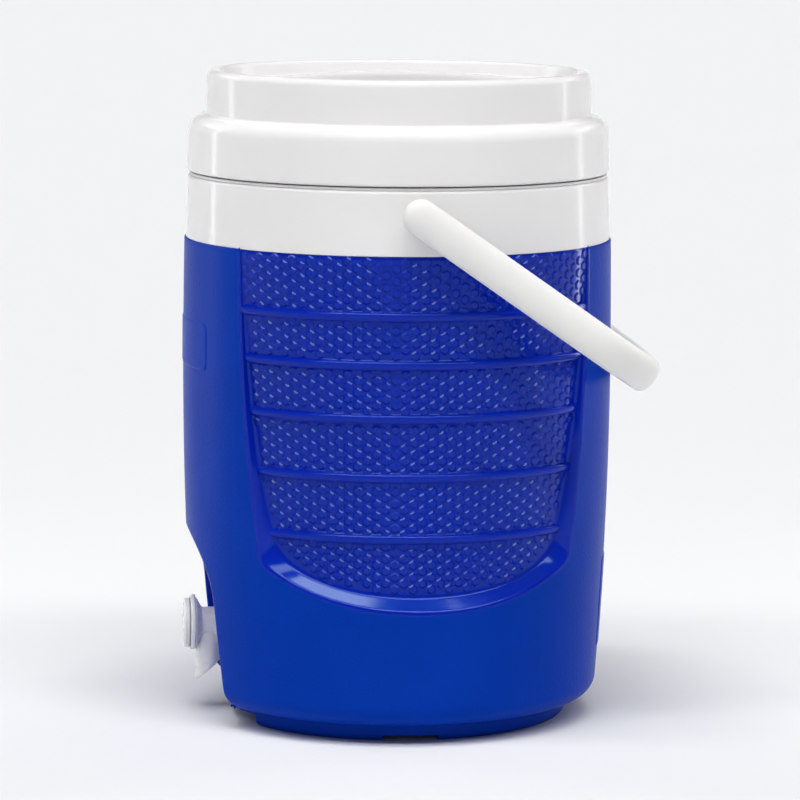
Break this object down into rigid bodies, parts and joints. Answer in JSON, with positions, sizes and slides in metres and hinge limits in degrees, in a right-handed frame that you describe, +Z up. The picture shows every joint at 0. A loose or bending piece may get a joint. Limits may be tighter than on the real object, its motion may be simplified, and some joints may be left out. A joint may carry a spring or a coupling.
{
  "type": "insulated beverage dispenser",
  "caption": "Round insulated drinks jug with a screw-off lid, a swing handle and a push-button spigot in a recess at the foot of its front.",
  "frame": {"origin": "centre of the underside, on the surface that the jug stands on", "axes": "+Z up along the jug's axis, -Y towards the spigot, +X along the handle's pivots"},
  "size_m": [0.2962, 0.2896, 0.3974],
  "materials": {
    "shell_blue": "moulded polyethylene with a fine pebbled grain",
    "gloss_white": "glossy moulded",
    "handle_white": "satin moulded",
    "spigot_white": "semi-gloss moulded",
    "liner_white": "smooth moulded",
    "foam": "rigid foam",
    "seal_rubber": "matte",
    "spring_steel": "drawn wire"
  },
  "bodies": {
    "jug": {"outer_shell": "shell_blue", "foam_insulation": "foam", "inner_liner": "liner_white", "collar": "gloss_white", "pivot_socket_left": "liner_white", "pivot_socket_right": "liner_white", "foam_fill_plug": "shell_blue", "spigot_body": "spigot_white", "spigot_gasket": "seal_rubber", "spigot_washer": "seal_rubber", "spigot_nut": "spigot_white", "return_spring": "spring_steel"},
    "handle": {"handle_bail": "handle_white", "pivot_pin_left": "handle_white", "pivot_pin_right": "handle_white"},
    "lid_seal": {"lid_gasket": "seal_rubber"},
    "lid": {"lid_shell": "gloss_white", "lid_pan": "liner_white", "lid_foam": "foam"},
    "button": {"push_button": "spigot_white", "valve_stem": "spigot_white", "stem_oring": "seal_rubber", "valve_seal": "seal_rubber", "stem_clip": "spring_steel"}
  },
  "joints": [
    {"name": "handle_swing", "type": "hinge", "parent": "jug", "child": "handle", "pos_m": [0, 0, 0.319], "axis": [1, 0, 0], "range_deg": [0, 250]},
    {"name": "lid_lift", "type": "slide", "parent": "jug", "child": "lid_seal", "axis": [0, 0, 1], "range_m": [0, 0.2]},
    {"name": "lid_turn", "type": "hinge", "parent": "lid_seal", "child": "lid", "pos_m": [0, 0, 0.36], "axis": [0, 0, 1], "range_deg": [0, 120]},
    {"name": "button_push", "type": "slide", "parent": "jug", "child": "button", "axis": [0, 1, 0], "range_m": [0, 0.003], "stiffness_N_per_m": 2500, "springref_m": -0.003, "deforming": ["return_spring"]}
  ]
}
